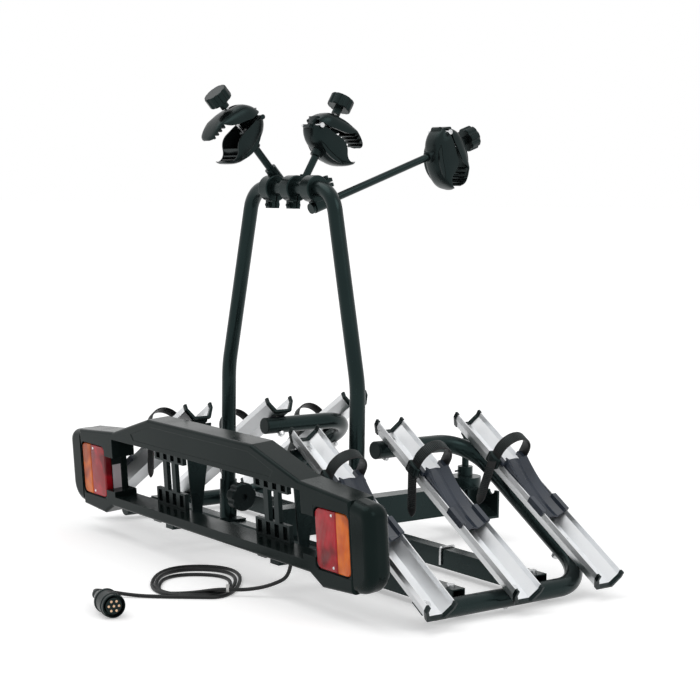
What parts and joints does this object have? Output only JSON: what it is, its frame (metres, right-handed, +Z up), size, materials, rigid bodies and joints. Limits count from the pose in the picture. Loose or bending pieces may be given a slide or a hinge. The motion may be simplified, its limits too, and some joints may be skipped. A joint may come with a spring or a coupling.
{
  "type": "hitch bike rack",
  "caption": "Rack that clamps on a tow ball and carries bicycles in sloping wheel channels, with a support hoop, gripping arms, a lamp board and a wired plug.",
  "frame": {"origin": "on the floor under the middle of the rack's box, without the free cable and its plug", "axes": "+X across the vehicle to the right seen from behind the board, +Y forward to the tow ball, +Z up"},
  "size_m": [1.203, 1.0334, 0.9479],
  "materials": {
    "steel_black": "satin black coating",
    "aluminium": "satin",
    "plastic_black": "fine satin",
    "board_plastic": "satin charcoal",
    "cradle_plastic": "satin blue-grey",
    "strap_plastic": "ribbed",
    "red_lens": "clear red",
    "amber_lens": "clear amber",
    "clear_window": "clear",
    "plated_steel": "zinc plated",
    "cable_black": "satin",
    "tie_white": "satin"
  },
  "bodies": {
    "rack": {"spine_bar": "steel_black", "rear_cross_beam": "steel_black", "middle_cross_beam": "steel_black", "frame_tube_left": "steel_black", "frame_tube_right": "steel_black", "tube_end_plugs": "plastic_black", "coupling_bracket": "steel_black", "coupling_head": "steel_black", "hoop_sockets": "steel_black", "rail_supports": "steel_black", "lamp_board": "board_plastic", "board_end_caps": "board_plastic", "lamp_housings": "plastic_black", "red_lenses": "red_lens", "amber_lenses": "amber_lens", "plate_light_windows": "clear_window", "plate_holders": "plastic_black", "board_arms": "steel_black", "wheel_rails_left": "aluminium", "wheel_rails_right": "aluminium", "rail_end_caps": "plastic_black", "rack_bolts": "plated_steel", "cable_gland": "plastic_black", "cable": "cable_black", "cable_hank": "cable_black", "cable_tie": "tie_white", "plug": "plastic_black", "beam_clip": "plated_steel"},
    "hoop": {"support_hoop": "steel_black"},
    "hoop_knob_left": {"hoop_knob_left": "plastic_black"},
    "hoop_knob_right": {"hoop_knob_right": "plastic_black"},
    "clamp_handle": {"clamp_handle": "steel_black"},
    "ball_pad": {"ball_pad": "plated_steel"},
    "arm_1": {"clamp_arm_1": "steel_black"},
    "lower_jaw_1": {"lower_jaw_1": "plastic_black"},
    "upper_jaw_1": {"upper_jaw_1": "plastic_black"},
    "jaw_screw_1": {"jaw_screw_1": "plated_steel"},
    "jaw_knob_1": {"jaw_knob_1": "plastic_black"},
    "arm_2": {"clamp_arm_2": "steel_black"},
    "lower_jaw_2": {"lower_jaw_2": "plastic_black"},
    "upper_jaw_2": {"upper_jaw_2": "plastic_black"},
    "jaw_screw_2": {"jaw_screw_2": "plated_steel"},
    "jaw_knob_2": {"jaw_knob_2": "plastic_black"},
    "arm_3": {"clamp_arm_3": "steel_black"},
    "lower_jaw_3": {"lower_jaw_3": "plastic_black"},
    "upper_jaw_3": {"upper_jaw_3": "plastic_black"},
    "jaw_screw_3": {"jaw_screw_3": "plated_steel"},
    "jaw_knob_3": {"jaw_knob_3": "plastic_black"},
    "cradle_right_1": {"wheel_cradle_right_1": "cradle_plastic", "wheel_strap_right_1": "strap_plastic"},
    "cradle_right_2": {"wheel_cradle_right_2": "cradle_plastic", "wheel_strap_right_2": "strap_plastic"},
    "cradle_right_3": {"wheel_cradle_right_3": "cradle_plastic", "wheel_strap_right_3": "strap_plastic"},
    "cradle_left_1": {"wheel_cradle_left_1": "cradle_plastic", "wheel_strap_left_1": "strap_plastic"},
    "cradle_left_2": {"wheel_cradle_left_2": "cradle_plastic", "wheel_strap_left_2": "strap_plastic"},
    "cradle_left_3": {"wheel_cradle_left_3": "cradle_plastic", "wheel_strap_left_3": "strap_plastic"}
  },
  "joints": [
    {"name": "hoop_lift", "type": "slide", "parent": "rack", "child": "hoop", "axis": [0, 0, 1], "range_m": [0, 0.08]},
    {"name": "hoop_knob_left_turn", "type": "hinge", "parent": "rack", "child": "hoop_knob_left", "pos_m": [-0.2, -0.137, 0.103], "axis": [1, 0, 0], "continuous": true},
    {"name": "hoop_knob_right_turn", "type": "hinge", "parent": "rack", "child": "hoop_knob_right", "pos_m": [0.2, -0.137, 0.103], "axis": [1, 0, 0], "continuous": true},
    {"name": "clamp_handle_turn", "type": "hinge", "parent": "rack", "child": "clamp_handle", "pos_m": [0, 0.332, 0.15], "axis": [0, 0, 1], "range_deg": [0, 720]},
    {"name": "ball_pad_press", "type": "slide", "parent": "rack", "child": "ball_pad", "axis": [0, 0, -1], "range_m": [0, 0.004]},
    {"name": "arm_swing_1", "type": "hinge", "parent": "hoop", "child": "arm_1", "pos_m": [-0.067, -0.137, 0.748], "axis": [1, 0, 0], "range_deg": [-45, 45]},
    {"name": "jaw_swivel_1", "type": "hinge", "parent": "arm_1", "child": "lower_jaw_1", "pos_m": [-0.067, -0.18834, 0.83659], "axis": [0, -0.6756, 0.7373], "range_deg": [-30, 30]},
    {"name": "jaw_close_1", "type": "hinge", "parent": "lower_jaw_1", "child": "upper_jaw_1", "pos_m": [-0.067, -0.18471, 0.88739], "axis": [-1, 0, 0], "range_deg": [-22, 0]},
    {"name": "screw_draw_1", "type": "slide", "parent": "lower_jaw_1", "child": "jaw_screw_1", "axis": [0, -0.6756, 0.7373], "range_m": [-0.0205, 0]},
    {"name": "jaw_knob_turn_1", "type": "hinge", "parent": "jaw_screw_1", "child": "jaw_knob_1", "pos_m": [-0.067, -0.2559, 0.91032], "axis": [0, -0.6756, 0.7373], "continuous": true},
    {"name": "arm_swing_2", "type": "hinge", "parent": "hoop", "child": "arm_2", "pos_m": [0.006, -0.137, 0.748], "axis": [1, 0, 0], "range_deg": [-45, 45]},
    {"name": "jaw_swivel_2", "type": "hinge", "parent": "arm_2", "child": "lower_jaw_2", "pos_m": [0.006, -0.07761, 0.82421], "axis": [0, 0.4939, 0.8695], "range_deg": [-30, 30]},
    {"name": "jaw_close_2", "type": "hinge", "parent": "lower_jaw_2", "child": "upper_jaw_2", "pos_m": [0.006, -0.09249, 0.87292], "axis": [1, 0, 0], "range_deg": [-13, 9]},
    {"name": "screw_draw_2", "type": "slide", "parent": "lower_jaw_2", "child": "jaw_screw_2", "axis": [0, 0.4939, 0.8695], "range_m": [-0.0123, 0.0087]},
    {"name": "jaw_knob_turn_2", "type": "hinge", "parent": "jaw_screw_2", "child": "jaw_knob_2", "pos_m": [0.006, -0.02821, 0.91116], "axis": [0, 0.4939, 0.8695], "continuous": true},
    {"name": "arm_swing_3", "type": "hinge", "parent": "hoop", "child": "arm_3", "pos_m": [0.075, -0.137, 0.748], "axis": [1, 0, 0], "range_deg": [-45, 45]},
    {"name": "jaw_swivel_3", "type": "hinge", "parent": "arm_3", "child": "lower_jaw_3", "pos_m": [0.075, 0.15934, 0.82006], "axis": [0, 0.9385, 0.3453], "range_deg": [-30, 30]},
    {"name": "jaw_close_3", "type": "hinge", "parent": "lower_jaw_3", "child": "upper_jaw_3", "pos_m": [0.075, 0.17942, 0.86687], "axis": [1, 0, 0], "range_deg": [-8, 14]},
    {"name": "screw_draw_3", "type": "slide", "parent": "lower_jaw_3", "child": "jaw_screw_3", "axis": [0, 0.9385, 0.3453], "range_m": [-0.0078, 0.0132]},
    {"name": "jaw_knob_turn_3", "type": "hinge", "parent": "jaw_screw_3", "child": "jaw_knob_3", "pos_m": [0.075, 0.2532, 0.85459], "axis": [0, 0.9385, 0.3453], "continuous": true},
    {"name": "cradle_slide_right_1", "type": "slide", "parent": "rack", "child": "cradle_right_1", "axis": [0.849, 0, -0.5284], "range_m": [-0.04, 0.1]},
    {"name": "cradle_slide_right_2", "type": "slide", "parent": "rack", "child": "cradle_right_2", "axis": [0.849, 0, -0.5284], "range_m": [-0.04, 0.1]},
    {"name": "cradle_slide_right_3", "type": "slide", "parent": "rack", "child": "cradle_right_3", "axis": [0.849, 0, -0.5284], "range_m": [-0.04, 0.1]},
    {"name": "cradle_slide_left_1", "type": "slide", "parent": "rack", "child": "cradle_left_1", "axis": [-0.849, 0, -0.5284], "range_m": [-0.04, 0.1]},
    {"name": "cradle_slide_left_2", "type": "slide", "parent": "rack", "child": "cradle_left_2", "axis": [-0.849, 0, -0.5284], "range_m": [-0.08, 0.06]},
    {"name": "cradle_slide_left_3", "type": "slide", "parent": "rack", "child": "cradle_left_3", "axis": [-0.849, 0, -0.5284], "range_m": [-0.08, 0.06]}
  ],
  "couplings": [
    {"joint": "ball_pad_press", "follows": "clamp_handle_turn", "m_per_rad": 0.00031831},
    {"joint": "screw_draw_1", "follows": "jaw_close_1", "m_per_rad": 0.052},
    {"joint": "screw_draw_2", "follows": "jaw_close_2", "m_per_rad": 0.052},
    {"joint": "screw_draw_3", "follows": "jaw_close_3", "m_per_rad": 0.052}
  ]
}
